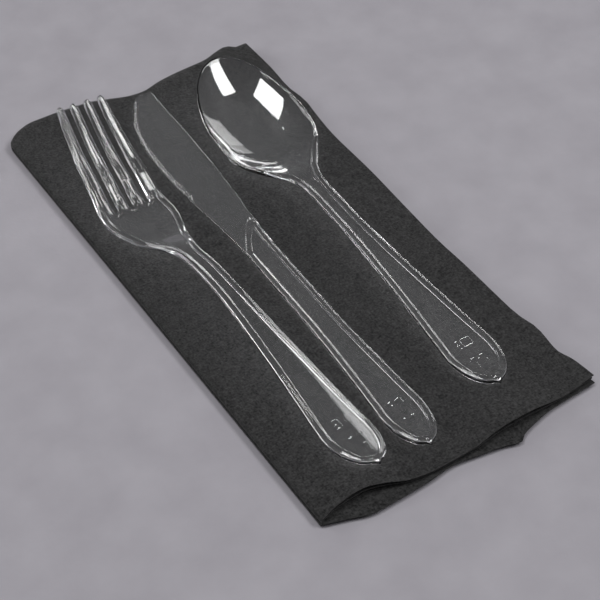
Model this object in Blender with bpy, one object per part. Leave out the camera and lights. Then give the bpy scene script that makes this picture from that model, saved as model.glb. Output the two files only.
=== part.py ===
"""Setting of clear plastic cutlery on a folded paper napkin.

A fork, a knife and a spoon, each one moulding, lie on one sheet folded into eight plies.
Lengths here are in millimetres and become metres in the meshes. +Y runs from the handles
to the tines, +X from the fork to the spoon and +Z up. The origin is under the middle of
the napkin. A piece is drawn with its handle's end at its own origin.
"""
import bpy
import math
from mathutils import Vector

MM = 0.001
REST_GAP = 0.3                 # clearance between the cutlery and the napkin
SHARP_ANGLE = math.radians(35)

# napkin: one sheet, two folds lengthwise and one fold across
NAPKIN_WIDTH = 102.0
NAPKIN_LENGTH = 208.0
PLY = 0.25                     # thickness of the paper
PLY_PITCH = 0.45               # from the middle of one ply to the next
CROSS_FOLD_GAP = 0.30          # space inside the fold across
BUNDLE = 3 * PLY_PITCH + PLY   # four plies, which the fold across doubles
NAPKIN_HEIGHT = 2 * BUNDLE + CROSS_FOLD_GAP
NEAR_END_LIFT = 1.6            # how far the open end springs up
NEAR_END_REACH = 5.0
FAR_CORNER_ROUND = 5.0
FAR_EDGE_WAVE = 3.4
PLY_COLUMNS = 8
NAPKIN_STATIONS = 11
FOLD_STEPS = 6

# handles: an oval end, then a long hollow taper to the neck
HANDLE_END = 16.0
END_POWER = 2.3
TAPER_POWER = 1.42
HALF_THICKNESS = 1.0
RIM_WIDTH = 2.3
RIM_STEP = 0.3                 # the panel lies this far below the rim, on both faces
NUB = 0.9                      # moulding nub on the very end
NUB_REACH = 0.8
EDGE_RINGS = (0.0, 0.3, 1.0)   # lines along the rounded edge, by their distance from it
HANDLE_RINGS = EDGE_RINGS + (RIM_WIDTH, RIM_WIDTH + 0.5)

# fork and spoon
HANDLE_HALF_WIDTH = 9.0
NECK_HALF_WIDTH = 4.2
TAPER_END = 84.0

FORK_LENGTH = 172.0
FORK_HEAD_START = 99.0
FORK_WIDEST = 131.0
FORK_HEAD_HALF_WIDTH = 13.3
FORK_TIP_HALF_WIDTH = 9.5
HEAD_DISH = 0.004              # sideways curve of the fork's head, per mm
TINE_HALF_THICKNESS = 0.95
SLOT_ROOT = 136.5
SLOT_PITCH_ROOT = 6.25
SLOT_PITCH_TIP = 5.45
SLOT_HALF_ROOT = 1.0
SLOT_HALF_TIP = 1.25
ARC_STEPS = 5
WEB_ROWS = 3
PANEL_FADE = 14.0              # the panel's step fades out over this length of the head
TINE_ROWS = ((0.0, 9.0), (0.2, 9.0), (0.4, 9.0), (0.6, 9.0), (0.8, 9.0),
             (0.93, 1.5), (0.985, 0.3), (1.0, 0.0))    # part of the tine, edge to the tip
FORK_PROFILE = ((0, 1.3), (14, 1.5), (50, 5.1), (89, 8.6), (104, 7.0),
                (120, 2.0), (133, 1.4), (146, 7.0), (160, 14.6), (172, 23.0))

SPOON_LENGTH = 169.0
SHOULDER = ((99, 4.2), (104, 4.6), (110, 6.4), (115, 9.7), (120, 12.9),
            (125, 16.2), (131, 18.1), (137, 18.4))
BOWL_WIDEST = 137.0
BOWL_HALF_WIDTH = 18.4
BOWL_DEEPEST = 142.0
BOWL_BACK = 33.0               # from the deepest place back to where the hollow starts
BOWL_DEPTH = 6.6
BOWL_HALF_THICKNESS = 0.7
BOWL_WALL_START = 100.0        # the wall thins from here to the bowl's
BOWL_WALL_END = 116.0
SPOON_PROFILE = ((0, 1.0), (14, 1.2), (50, 2.8), (86, 4.1), (104, 4.7),
                 (122, 4.0), (140, 8.0), (156, 12.3), (169, 16.4))

# knife
KNIFE_HANDLE_HALF_WIDTH = 7.75
KNIFE_NECK_HALF_WIDTH = 5.45
KNIFE_TAPER_END = 62.0
KNIFE_PANEL_FADE = (90.0, 100.0)
KNIFE_HEIGHT = 1.0
BLADE_HALF_THICKNESS = 0.55
CUTTING_HALF_THICKNESS = 0.3
CUTTING_BEVEL = 3.0
BOLSTER_FOOT = 98.0            # the step slants from here on the cutting side
BOLSTER_RISE = 14.8
BOLSTER_LEFT = -4.7
BOLSTER_WIDTH = 10.9
BOLSTER_STEP = 2.0             # length of the slope down to the blade
SPINE = ((104, 5.7), (113, 6.3), (127, 7.7), (147, 8.7), (167, 9.1), (189.8, 9.3))
CUTTING_EDGE = ((104, 5.5), (117, 6.6), (132, 8.2), (147, 9.2), (157, 9.0), (167, 8.1),
                (173, 6.8), (178.5, 4.8), (184.5, 1.5), (188.8, -1.8), (191.1, -5.4))
TOOTH_START = 132.0
TOOTH_END = 186.0
TOOTH_PITCH = 1.5
TOOTH_DEPTH = 0.35
POINT_START = 185.0            # the spine ends a little before the cutting edge's point
POINT_SHARE = 0.79

# where each piece's handle ends (x, y), its turn to the left and its tilt to the right
FORK_PLACE = (-26.0, -95.1, 3.3, 9.0)
KNIFE_PLACE = (-7.3, -96.6, -0.7, 0.0)
SPOON_PLACE = (24.8, -89.4, 0.3, 0.0)

CLEAR = (0.93, 0.94, 0.95)
CHARCOAL = (0.03, 0.03, 0.032)


def smooth(t):
    """Ease from 0 to 1 with level ends."""
    t = min(max(t, 0.0), 1.0)
    return t * t * (3 - 2 * t)


def spline(points, t):
    """Value at t of a curve through the points that never overshoots them."""
    xs = [p[0] for p in points]
    ys = [p[1] for p in points]
    t = min(max(t, xs[0]), xs[-1])
    i = max(k for k in range(len(xs) - 1) if t >= xs[k])
    chords = [(ys[k + 1] - ys[k]) / (xs[k + 1] - xs[k]) for k in range(len(xs) - 1)]

    def slope(k):
        if k == 0:
            return chords[0]
        if k == len(xs) - 1:
            return chords[-1]
        if chords[k - 1] * chords[k] <= 0:
            return 0.0
        return 2 * chords[k - 1] * chords[k] / (chords[k - 1] + chords[k])

    h = xs[i + 1] - xs[i]
    u = (t - xs[i]) / h
    value = (2 * u ** 3 - 3 * u ** 2 + 1) * ys[i] + (3 * u ** 2 - 2 * u ** 3) * ys[i + 1]
    value += h * (u ** 3 - 2 * u ** 2 + u) * slope(i)
    value += h * (u ** 3 - u ** 2) * slope(i + 1)
    return value


def handle_half_width(y, widest, neck, taper_end):
    if y < HANDLE_END:
        return widest * math.sqrt(1 - (1 - y / HANDLE_END) ** END_POWER)
    t = min((y - HANDLE_END) / (taper_end - HANDLE_END), 1.0)
    return neck + (widest - neck) * (1 - t) ** TAPER_POWER


def rounded(edge, half):
    """Half thickness at a distance from a free edge, which is a half circle."""
    if edge >= half:
        return half
    return math.sqrt(edge * (2 * half - edge))


def handle_thickness(y, edge, fade_start, fade_end):
    """A full rim round a thinner panel. The step between them fades out at the neck."""
    half = rounded(edge, HALF_THICKNESS)
    if edge > RIM_WIDTH:
        half -= RIM_STEP * (1 - smooth((y - fade_start) / (fade_end - fade_start)))
    return half


def handle_stations(end_steps, pitch, stop):
    """Stations along a handle, closer together towards the point of its oval end."""
    stations = [HANDLE_END * (1 - math.cos(math.pi / 2 * k / end_steps))
                for k in range(end_steps)]
    count = round((stop - HANDLE_END) / pitch)
    stations += [HANDLE_END + (stop - HANDLE_END) * k / count for k in range(count)]
    return stations


def inset(curve, distance, closed_far_end):
    """Move a right-hand outline inwards, and stop it where it meets the middle line."""
    moved = []
    for i, (x, y) in enumerate(curve):
        before = curve[max(i - 1, 0)]
        after = curve[min(i + 1, len(curve) - 1)]
        along = Vector((after[0] - before[0], after[1] - before[1])).normalized()
        moved.append((x - along.y * distance, y + along.x * distance))

    def crossing(inside, outside):
        t = inside[0] / (inside[0] - outside[0])
        return (0.0, inside[1] + (outside[1] - inside[1]) * t)

    half = len(curve) // 2
    first = min(i for i in range(half) if moved[i][0] > 0)
    if first > 0:
        moved[:first] = [crossing(moved[first], moved[first - 1])] * first
    if closed_far_end:
        last = max(i for i in range(half, len(curve)) if moved[i][0] > 0)
        if last < len(curve) - 1:
            missing = len(curve) - 1 - last
            moved[last + 1:] = [crossing(moved[last], moved[last + 1])] * missing
    return moved


def nub(x, y, edge):
    """Pull the very end of a handle out into its small nub."""
    pull = NUB * math.exp(-(x / NUB_REACH) ** 2) * math.exp(-max(y, 0) ** 2)
    return (x, y - pull, edge)


def rows_across(right, left, rings, columns, closed_far_end):
    """Rows of plan points across a piece, from its two outlines, both given with +x."""
    right_lines = [inset(right, ring, closed_far_end) for ring in rings]
    left_lines = [inset(left, ring, closed_far_end) for ring in rings]
    rows = []
    for i in range(len(right)):
        right_part = [(line[i][0], line[i][1], ring) for line, ring in zip(right_lines, rings)]
        left_part = [(-line[i][0], line[i][1], ring) for line, ring in zip(left_lines, rings)]
        start = Vector(left_part[-1])
        end = Vector(right_part[-1])
        middle = [tuple(start.lerp(end, k / columns)) for k in range(1, columns)]
        row = left_part + middle + right_part[::-1]
        rows.append([nub(*point) for point in row])
    return rows


class Plate:
    """A moulded plate: patches of plan points, raised onto its curved middle surface.

    A plan point is (x, y, distance from the free edge). The two faces of the plate meet
    where that distance is zero, so patches that join along their seams close the body.
    """

    def __init__(self, height, half_thickness):
        self.height = height
        self.half_thickness = half_thickness
        self.verts = []
        self.faces = []
        self.known = {}

    def raise_point(self, point):
        x, y, edge = point
        key = (round(x, 3), round(y, 3))
        if key in self.known:
            return self.known[key]
        step = 0.05
        middle = Vector((x, y, self.height(x, y)))
        normal = Vector((self.height(x - step, y) - self.height(x + step, y),
                         self.height(x, y - step) - self.height(x, y + step),
                         2 * step)).normalized()
        half = self.half_thickness(x, y, edge)
        first = len(self.verts)
        if half <= 0:
            self.verts.append(middle * MM)
            pair = (first, first)
        else:
            self.verts.append((middle + normal * half) * MM)
            self.verts.append((middle - normal * half) * MM)
            pair = (first, first + 1)
        self.known[key] = pair
        return pair

    def add_face(self, corners):
        ring = []
        for pair in corners:
            if pair not in ring:
                ring.append(pair)
        if len(ring) > 2:
            self.faces.append([pair[0] for pair in ring])
            self.faces.append([pair[1] for pair in reversed(ring)])

    def add_grid(self, rows):
        """Rows follow each other towards +Y, and the points of a row towards +X."""
        raised = [[self.raise_point(point) for point in row] for row in rows]
        for low, high in zip(raised, raised[1:]):
            for i in range(len(low) - 1):
                self.add_face((low[i], low[i + 1], high[i + 1], high[i]))

    def add_join(self, low_row, high_row):
        """Join two rows that have different numbers of points."""
        low = [self.raise_point(point) for point in low_row]
        high = [self.raise_point(point) for point in high_row]
        i = j = 0
        while i < len(low) - 1 or j < len(high) - 1:
            next_low = (i + 1) / (len(low) - 1)
            next_high = (j + 1) / (len(high) - 1)
            if next_low <= next_high and i < len(low) - 1:
                self.add_face((low[i], low[i + 1], high[j]))
                i += 1
            else:
                self.add_face((low[i], high[j + 1], high[j]))
                j += 1

    def build(self, name, place):
        """Make the object and lay it on the napkin."""
        x, y, turn, tilt = place
        piece = new_object(name, self.verts, self.faces, clear_plastic(name))
        piece.rotation_euler = (0, math.radians(tilt), math.radians(turn))
        piece.location = Vector((x, y, 0)) * MM
        bpy.context.view_layer.update()
        lowest = min((piece.matrix_world @ v.co).z for v in piece.data.vertices)
        piece.location.z = (NAPKIN_HEIGHT + REST_GAP) * MM - lowest
        return piece


def new_object(name, verts, faces, material):
    mesh = bpy.data.meshes.new(name)
    mesh.from_pydata(verts, [], faces)
    mesh.materials.append(material)
    mesh.shade_smooth()
    mesh.set_sharp_from_angle(angle=SHARP_ANGLE)
    piece = bpy.data.objects.new(name, mesh)
    bpy.context.collection.objects.link(piece)
    return piece


def principled(name, colour, roughness):
    material = bpy.data.materials.new(name)
    material.use_nodes = True
    shader = material.node_tree.nodes["Principled BSDF"]
    shader.inputs["Base Color"].default_value = (*colour, 1)
    shader.inputs["Roughness"].default_value = roughness
    shader.inputs["Metallic"].default_value = 0.0
    return material


def clear_plastic(name):
    material = principled(name + "_plastic", CLEAR, 0.06)
    shader = material.node_tree.nodes["Principled BSDF"]
    shader.inputs["IOR"].default_value = 1.57
    shader.inputs["Transmission Weight"].default_value = 1.0
    return material


# fork

def fork_half_width(y):
    if y < FORK_HEAD_START:
        return handle_half_width(y, HANDLE_HALF_WIDTH, NECK_HALF_WIDTH, TAPER_END)
    if y < FORK_WIDEST:
        t = (y - FORK_HEAD_START) / (FORK_WIDEST - FORK_HEAD_START)
        return NECK_HALF_WIDTH + (FORK_HEAD_HALF_WIDTH - NECK_HALF_WIDTH) * smooth(t)
    t = (y - FORK_WIDEST) / (FORK_LENGTH - FORK_WIDEST)
    return FORK_HEAD_HALF_WIDTH + (FORK_TIP_HALF_WIDTH - FORK_HEAD_HALF_WIDTH) * t ** 1.2


def fork_height(x, y):
    dish = HEAD_DISH * smooth((y - FORK_HEAD_START) / 20) * x * x
    return spline(FORK_PROFILE, y) + dish


def fork_thickness(x, y, edge):
    if y > FORK_WIDEST:
        return rounded(edge, TINE_HALF_THICKNESS)
    return handle_thickness(y, edge, FORK_HEAD_START, FORK_HEAD_START + PANEL_FADE)


def tine_part(y):
    return (y - SLOT_ROOT) / (FORK_LENGTH - SLOT_ROOT)


def slot_middle(number, y):
    """Middle of slot -1, 0 or 1. The numbers halfway between are the tines' middles."""
    return number * (SLOT_PITCH_ROOT + (SLOT_PITCH_TIP - SLOT_PITCH_ROOT) * tine_part(y))


def slot_half(y):
    return SLOT_HALF_ROOT + (SLOT_HALF_TIP - SLOT_HALF_ROOT) * tine_part(y)


def root_arc(number, offset):
    """Half circle round a slot's root, at a distance from the slot."""
    points = []
    for k in range(2 * ARC_STEPS + 1):
        angle = math.radians(-90 + 90 * k / ARC_STEPS)
        radius = SLOT_HALF_ROOT + offset
        x = slot_middle(number, SLOT_ROOT) + radius * math.sin(angle)
        points.append((x, SLOT_ROOT - radius * math.cos(angle), offset))
    return points


def half_tine(edge_of, middle_of, side):
    """Rows from a tine's edge to its middle line, up to its tip. side is +1 or -1."""
    rows = []
    for part, to_tip in TINE_ROWS:
        y = SLOT_ROOT + (FORK_LENGTH - SLOT_ROOT) * part
        edge_x = edge_of(y)
        middle_x = middle_of(y)
        row = [(edge_x + side * d, y, min(d, to_tip)) for d in EDGE_RINGS]
        row.append((middle_x, y, min(abs(middle_x - edge_x), to_tip)))
        rows.append(row[::side])
    return rows


def fork_web(last_y):
    """Rows from the end of the handle's part of the head to the arcs at the slots' roots."""
    reach = SLOT_PITCH_ROOT / 2
    outer = fork_half_width(SLOT_ROOT)
    border = [(-outer + d, SLOT_ROOT, d) for d in EDGE_RINGS]
    top = list(border)
    for number in (-1, 0, 1):
        arc = root_arc(number, reach - SLOT_HALF_ROOT)
        top += arc if number == -1 else arc[1:]
    top += [(-x, y, d) for x, y, d in reversed(border)]
    rows = []
    for k in range(WEB_ROWS):
        t = k / WEB_ROWS
        level = last_y + (SLOT_ROOT - reach - last_y) * t
        row = []
        for x, y, d in top:
            y_here = level + (y - SLOT_ROOT + reach) * t
            margin = d if d <= EDGE_RINGS[-1] else 0.0
            squeeze = (fork_half_width(y_here) - margin) / (outer - margin)
            row.append((x * squeeze, y_here, d))
        rows.append(row)
    rows.append(top)
    return rows


def make_fork():
    plate = Plate(fork_height, fork_thickness)
    stations = handle_stations(7, 8, FORK_HEAD_START)
    stations += [FORK_HEAD_START + 4 * k for k in range(6)]
    outline = [(fork_half_width(y), y) for y in stations]
    handle = rows_across(outline, outline, HANDLE_RINGS, 4, False)
    web = fork_web(stations[-1] + 4)
    plate.add_grid(handle)
    plate.add_join(handle[-1], web[0])
    plate.add_grid(web)
    offsets = EDGE_RINGS + (SLOT_PITCH_ROOT / 2 - SLOT_HALF_ROOT,)
    for slot in (-1, 0, 1):
        plate.add_grid([root_arc(slot, offset) for offset in reversed(offsets)])
        for side in (-1, 1):
            plate.add_grid(half_tine(lambda y: slot_middle(slot, y) + side * slot_half(y),
                                     lambda y: slot_middle(slot + side / 2, y), side))
    for side in (-1, 1):
        plate.add_grid(half_tine(lambda y: side * fork_half_width(y),
                                 lambda y: slot_middle(side * 1.5, y), -side))
    return plate.build("fork", FORK_PLACE)


# spoon

def spoon_half_width(y):
    if y < SHOULDER[0][0]:
        return handle_half_width(y, HANDLE_HALF_WIDTH, NECK_HALF_WIDTH, TAPER_END)
    if y < BOWL_WIDEST:
        return spline(SHOULDER, y)
    t = (y - BOWL_WIDEST) / (SPOON_LENGTH - BOWL_WIDEST)
    return BOWL_HALF_WIDTH * math.sqrt(max(0.0, 1 - t * t))


def spoon_height(x, y):
    """The rim's line, less the hollow of the bowl."""
    reach = SPOON_LENGTH - BOWL_DEEPEST if y > BOWL_DEEPEST else BOWL_BACK
    along = (y - BOWL_DEEPEST) / reach
    inside = max(0.0, 1 - along * along - (x / BOWL_HALF_WIDTH) ** 2)
    power = 0.9 + 0.9 * smooth(-along)
    return spline(SPOON_PROFILE, y) - BOWL_DEPTH * inside ** power


def spoon_thickness(x, y, edge):
    bowl = smooth((y - BOWL_WALL_START) / (BOWL_WALL_END - BOWL_WALL_START))
    half = HALF_THICKNESS + (BOWL_HALF_THICKNESS - HALF_THICKNESS) * bowl
    handle = handle_thickness(y, edge, BOWL_WALL_START, BOWL_WALL_END)
    return min(handle, rounded(edge, half))


def make_spoon():
    plate = Plate(spoon_height, spoon_thickness)
    stations = handle_stations(7, 8, 99)
    stations += [99 + 38 * k / 8 for k in range(8)]
    reach = SPOON_LENGTH - BOWL_WIDEST
    stations += [BOWL_WIDEST + reach * math.sin(math.pi / 2 * k / 9) for k in range(10)]
    outline = [(spoon_half_width(y), y) for y in stations]
    plate.add_grid(rows_across(outline, outline, HANDLE_RINGS, 8, True))
    return plate.build("spoon", SPOON_PLACE)


# knife

def bolster_line(x):
    """Where the handle steps down to the blade, slanting from the cutting side."""
    t = min(max((x - BOLSTER_LEFT) / BOLSTER_WIDTH, 0.0), 1.0)
    return BOLSTER_FOOT + BOLSTER_RISE * (1 - (1 - t) ** 1.6)


def knife_height(x, y):
    return KNIFE_HEIGHT


def knife_thickness(x, y, edge):
    handle = handle_thickness(y, edge, *KNIFE_PANEL_FADE)
    bevel = smooth((x + spline(CUTTING_EDGE, y)) / CUTTING_BEVEL)
    blade = CUTTING_HALF_THICKNESS + (BLADE_HALF_THICKNESS - CUTTING_HALF_THICKNESS) * bevel
    part = smooth((y - bolster_line(x)) / BOLSTER_STEP + 0.5)
    return handle + (rounded(edge, blade) - handle) * part


def make_knife():
    plate = Plate(knife_height, knife_thickness)
    blade_start = BOLSTER_FOOT - BOLSTER_STEP
    handle = handle_stations(7, 9, blade_start)
    widths = (KNIFE_HANDLE_HALF_WIDTH, KNIFE_NECK_HALF_WIDTH, KNIFE_TAPER_END)
    right = [(handle_half_width(y, *widths), y) for y in handle]
    left = list(right)
    step = TOOTH_PITCH / 2
    teeth = round((TOOTH_END - TOOTH_START) / step)
    blade = [blade_start + BOLSTER_STEP * k for k in range(10)] + [116, 120, 124, 128]
    blade += [TOOTH_START + step * k for k in range(teeth + 1)]
    blade += [188, 189.8, 191.1]
    for i, y in enumerate(blade):
        tooth = TOOTH_DEPTH * (round((y - TOOTH_START) / step) % 2)
        if y < TOOTH_START or y > TOOTH_END:
            tooth = 0
        right.append((spline(SPINE, y), min(y, POINT_START + (y - POINT_START) * POINT_SHARE)))
        left.append((spline(CUTTING_EDGE, y) - tooth, y))
    rows = rows_across(right, left, HANDLE_RINGS, 4, False)
    start = Vector(rows[-1][0])
    end = Vector(rows[-1][-1])
    last = len(rows[-1]) - 1
    rows[-1] = [tuple(start.lerp(end, k / last)) for k in range(last + 1)]
    plate.add_grid(rows)
    return plate.build("knife", KNIFE_PLACE)


# napkin

def ply_height(ply):
    """Height of a ply's middle above the middle of the fold across, ply 1 outermost."""
    return CROSS_FOLD_GAP / 2 + PLY / 2 + (4 - ply) * PLY_PITCH


def section_line():
    """Middle line of the four-ply bundle as (x, height), from one cut edge to the other."""
    half = NAPKIN_WIDTH / 2
    outer = (ply_height(1) - ply_height(4)) / 2
    inner = (ply_height(2) - ply_height(3)) / 2
    points = []

    def straight(start, stop, height):
        for k in range(PLY_COLUMNS + 1):
            points.append((start + (stop - start) * k / PLY_COLUMNS, height))

    def turn(x, height, radius, side, direction):
        for k in range(1, FOLD_STEPS):
            angle = math.pi * k / FOLD_STEPS
            points.append((x + side * radius * math.sin(angle),
                           height + direction * radius * math.cos(angle)))

    left = -half + outer + PLY / 2
    right = half - inner - PLY / 2
    middle = (ply_height(1) + ply_height(4)) / 2
    straight(half, left, ply_height(1))
    turn(left, middle, outer, -1, 1)
    straight(left, right, ply_height(4))
    turn(right, (ply_height(3) + ply_height(4)) / 2, inner, 1, -1)
    straight(right, left, ply_height(3))
    turn(left, middle, inner, -1, -1)
    straight(left, half - 2, ply_height(2))
    return points


def thicken(line):
    """Closed outline of a line with the paper's thickness."""
    sides = ([], [])
    for i, point in enumerate(line):
        before = Vector(line[max(i - 1, 0)])
        after = Vector(line[min(i + 1, len(line) - 1)])
        along = (after - before).normalized()
        across = Vector((-along.y, along.x)) * PLY / 2
        sides[0].append(Vector(point) + across)
        sides[1].append(Vector(point) - across)
    return sides[0] + sides[1][::-1]


def napkin_point(x, height, turn, y):
    """Place a point of the section. turn is 0 in the upper bundle and 180 in the lower."""
    side = x / (NAPKIN_WIDTH / 2)
    wave = FAR_EDGE_WAVE * math.cos(math.pi * (side + 0.76) * 1.25)
    corner = FAR_CORNER_ROUND * smooth((-side - 0.8) / 0.2)
    far = smooth((y + 20) / (NAPKIN_LENGTH / 2))
    fold_y = y + (wave - corner) * far
    angle = math.radians(turn)
    near = math.exp(-((y + NAPKIN_LENGTH / 2) / NEAR_END_REACH) ** 2)
    bulge = 0.5 - 0.5 * math.cos(2 * math.pi * (side + 1))
    lift = NEAR_END_LIFT * near * bulge * (height / BUNDLE) ** 1.5 if turn < 90 else 0.0
    return Vector((x, fold_y + height * math.sin(angle),
                   NAPKIN_HEIGHT / 2 + height * math.cos(angle) + lift)) * MM


def make_napkin():
    outline = thicken(section_line())
    near = -NAPKIN_LENGTH / 2
    far = NAPKIN_LENGTH / 2 - NAPKIN_HEIGHT / 2 - FAR_EDGE_WAVE
    run = [near + (far - near) * smooth(k / NAPKIN_STATIONS) for k in range(NAPKIN_STATIONS + 1)]
    path = [(0, y) for y in run]
    path += [(180 * k / FOLD_STEPS, far) for k in range(1, FOLD_STEPS)]
    path += [(180, y) for y in reversed(run)]
    verts = [napkin_point(x, height, turn, y) for turn, y in path for x, height in outline]
    count = len(outline)
    faces = []
    for row in range(len(path) - 1):
        for k in range(count):
            a = row * count + k
            b = row * count + (k + 1) % count
            faces.append((a, b, b + count, a + count))
    last = (len(path) - 1) * count
    for k in range(count // 2 - 1):
        mate = count - 1 - k
        faces.append((k, mate, mate - 1, k + 1))
        faces.append((last + k, last + k + 1, last + mate - 1, last + mate))
    paper = principled("charcoal_paper", CHARCOAL, 0.95)
    return new_object("napkin", verts, faces, paper)


for old in list(bpy.data.objects):
    bpy.data.objects.remove(old, do_unlink=True)
make_napkin()
make_fork()
make_knife()
make_spoon()
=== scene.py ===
"""Visual model of clear plastic cutlery laid on a folded paper napkin.

Lengths are in millimetres until a mesh is made, and metres in it. A piece of cutlery is drawn
flat, with its handle's end at its own origin and +Y towards its head, then laid in the box of
its CAD node. The napkin is drawn straight in the frame.
"""

import math

import bpy
import numpy as np
from mathutils import Matrix, Vector


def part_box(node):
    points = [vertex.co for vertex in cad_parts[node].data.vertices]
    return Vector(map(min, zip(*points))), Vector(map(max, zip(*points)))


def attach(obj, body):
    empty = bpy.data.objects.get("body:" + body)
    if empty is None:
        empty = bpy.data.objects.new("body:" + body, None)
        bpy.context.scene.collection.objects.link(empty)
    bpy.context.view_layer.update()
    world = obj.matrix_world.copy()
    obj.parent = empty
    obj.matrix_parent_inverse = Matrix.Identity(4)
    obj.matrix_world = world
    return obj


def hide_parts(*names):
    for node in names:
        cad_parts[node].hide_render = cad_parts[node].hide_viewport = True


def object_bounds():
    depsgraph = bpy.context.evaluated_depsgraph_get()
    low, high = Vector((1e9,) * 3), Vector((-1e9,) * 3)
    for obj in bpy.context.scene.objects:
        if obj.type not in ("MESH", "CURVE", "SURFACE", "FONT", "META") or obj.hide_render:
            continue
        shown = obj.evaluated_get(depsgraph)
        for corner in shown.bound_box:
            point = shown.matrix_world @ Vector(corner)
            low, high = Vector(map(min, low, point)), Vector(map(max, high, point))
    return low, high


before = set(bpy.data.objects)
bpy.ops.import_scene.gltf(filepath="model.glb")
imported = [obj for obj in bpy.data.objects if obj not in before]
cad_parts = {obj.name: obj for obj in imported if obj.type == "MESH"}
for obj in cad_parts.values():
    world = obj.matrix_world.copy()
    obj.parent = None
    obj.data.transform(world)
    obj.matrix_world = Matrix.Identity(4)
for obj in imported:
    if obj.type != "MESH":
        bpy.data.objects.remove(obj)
cad_low, cad_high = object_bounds()

MM = 0.001
WELD = 0.0005                   # points closer than this, in mm, are one point
FAR = 9.0                       # stands for the distance to an edge that isn't near
SLOPE_STEP = 0.02               # half the span that a surface's slope is taken over
SHARP_ANGLE = 40
ROW_GAP = 0.05                  # rows closer than this are one row

# handles: an oval end, then a long hollow taper to the neck
HANDLE_END = 16.0
END_POWER = 2.3
TAPER_POWER = 1.42
HANDLE_HALF_WIDTH = 9.0
NECK_HALF_WIDTH = 4.2
TAPER_END = 84.0
HALF_THICKNESS = 1.0
CORNER = 1.3                    # reach of the moulded edges' rounding
CORNER_POWER = 2.2
RIM_START = 2.05                # the rim's inner step, by its distance from the edge
RIM_END = 2.5
RIM_STEP = 0.3
NUB = 0.9
NUB_REACH = 0.75
END_STEPS = 14                  # stations in a quarter turn, and how many of them an end uses
END_USED = 9
MARKS_STOP = 21                 # the rows are close together as far as this, for the marks
EDGE_RINGS = (0.0, 0.02, 0.07, 0.16, 0.3, 0.48, 0.7, 0.95, 1.2)
HANDLE_RINGS = EDGE_RINGS + (1.5, 1.8, 2.05, 2.16, 2.27, 2.39, 2.5, 2.62)
SLOT_RINGS = (0.0, 0.02, 0.07, 0.16, 0.3, 0.42, 0.55, 0.7, 0.9, 1.1, 1.3, 1.48, 1.56, 1.65, 1.74,
              1.82)
MARK_HEIGHT = 0.12
MARK_WIDTH = 0.18
MARKS_REACH = 30
FRAME_LEFT = -0.9               # the marks of a handle, for a size of 1
FRAME_FOOT = 16.5
FRAME_WIDTH = 2.7
FRAME_HEIGHT = 2.6
BAR_START, BAR_STOP = 1.9, 0.7
DASH_LEVEL = 11.5
DASHES = ((-2.2, -0.9), (0.6, 2.0))
BROAD_MARKS = 1.25              # size of the marks on the fork and the spoon, and on the knife
NARROW_MARKS = 1.0
FORK_PIN = (6.4, 1.8)           # an ejector pin's ring: how far up the handle, and its radius
SPOON_PIN = (8.6, 2.0)
KNIFE_PIN = (6.2, 1.15)

# fork
FORK_LENGTH = 172.0
FORK_HEAD_START = 99.0
HEAD_BLEND = 20                 # length of the change from the arched handle to the dished head
FORK_WIDEST = 131.0
FORK_HEAD_HALF_WIDTH = 13.3
FORK_TIP_HALF_WIDTH = 9.5
HEAD_DISH = 0.0015
FORK_CROWN = 0.020
TINE_HALF_THICKNESS = 0.95
TINE_TAPER_POWER = 1.2
TINES_THIN = (125, 10)          # where a change starts, and its length
RECESS_FADES = (145, 25)
RECESS_FADE = 0.5
LIP_START = 1.48                # the raised lip round a slot, by its distance from the slot
LIP_STEP = 0.34
SLOT_ROOT = 136.5
SLOT_PITCH_ROOT = 6.25
SLOT_PITCH_TIP = 5.45
SLOT_HALF_ROOT = 1.0
SLOT_HALF_TIP = 1.25
SLOT_REACH = SLOT_PITCH_ROOT / 2 - SLOT_HALF_ROOT
ARC_STEPS = 12
FAN_START = 120                 # from here the rows bend towards the arcs round the slots
RIMS_STRAIGHTEN = (124, 8)
TINE_ROWS = 40
TIP_ROWS = 10
CHAMFER = 2.0
CHAMFER_FOOT = 0.7
TIP_ROUND = 1.8
FORK_PROFILE = ((0, 1.3), (14, 1.5), (50, 5.1), (89, 8.6), (104, 7.0),
                (120, 2.0), (133, 1.4), (146, 7.0), (160, 14.6), (172, 23.0))
FORK_TURN, FORK_TILT = 3.3, 9.0

# spoon
SPOON_LENGTH = 169.0
SHOULDER = ((99, 4.2), (104, 4.6), (110, 6.4), (115, 9.7), (120, 12.9),
            (125, 16.2), (131, 18.1), (137, 18.4))
BOWL_WIDEST = 137.0
BOWL_HALF_WIDTH = 18.4
BOWL_DEEPEST = 142.0
BOWL_BACK = 33.0
BOWL_DEPTH = 6.6
BOWL_HALF_THICKNESS = 0.62
BOWL_POWER = 0.76               # fullness of the bowl, and what its back adds to that
BOWL_BACK_POWER = 1.0
BOWL_THINS = (120, 14)
RIM_NARROWS = (112, 20)
RIM_NARROWING = 0.72
STEP_DEEPENS = (104, 22)
STEP_DEEPENING = 0.08
STEP_FADES = (128, 10)
STEP_FADING = 0.3
GATE_X, GATE_Y = 0.2, 104.0     # the broken ring of the gate on the neck
GATE_RADIUS = 1.45
GATE_BREAK_X, GATE_BREAK_Y = -1.2, 103.4
GATE_BREAK_RADIUS = 0.8
GATE_BREAK_FADE = 1.2
GATE_REACH = 4
GATE_SCALE = 1.6
SPOON_COLUMNS = 74
SPOON_TIP_ROWS = 44
SPOON_ROW_GAP = 0.005
SPOON_PROFILE = ((0, 1.0), (14, 1.2), (50, 2.8), (86, 4.1), (104, 4.7),
                 (122, 4.0), (140, 8.0), (156, 12.3), (169, 16.4))
SPOON_TURN = 0.3

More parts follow.
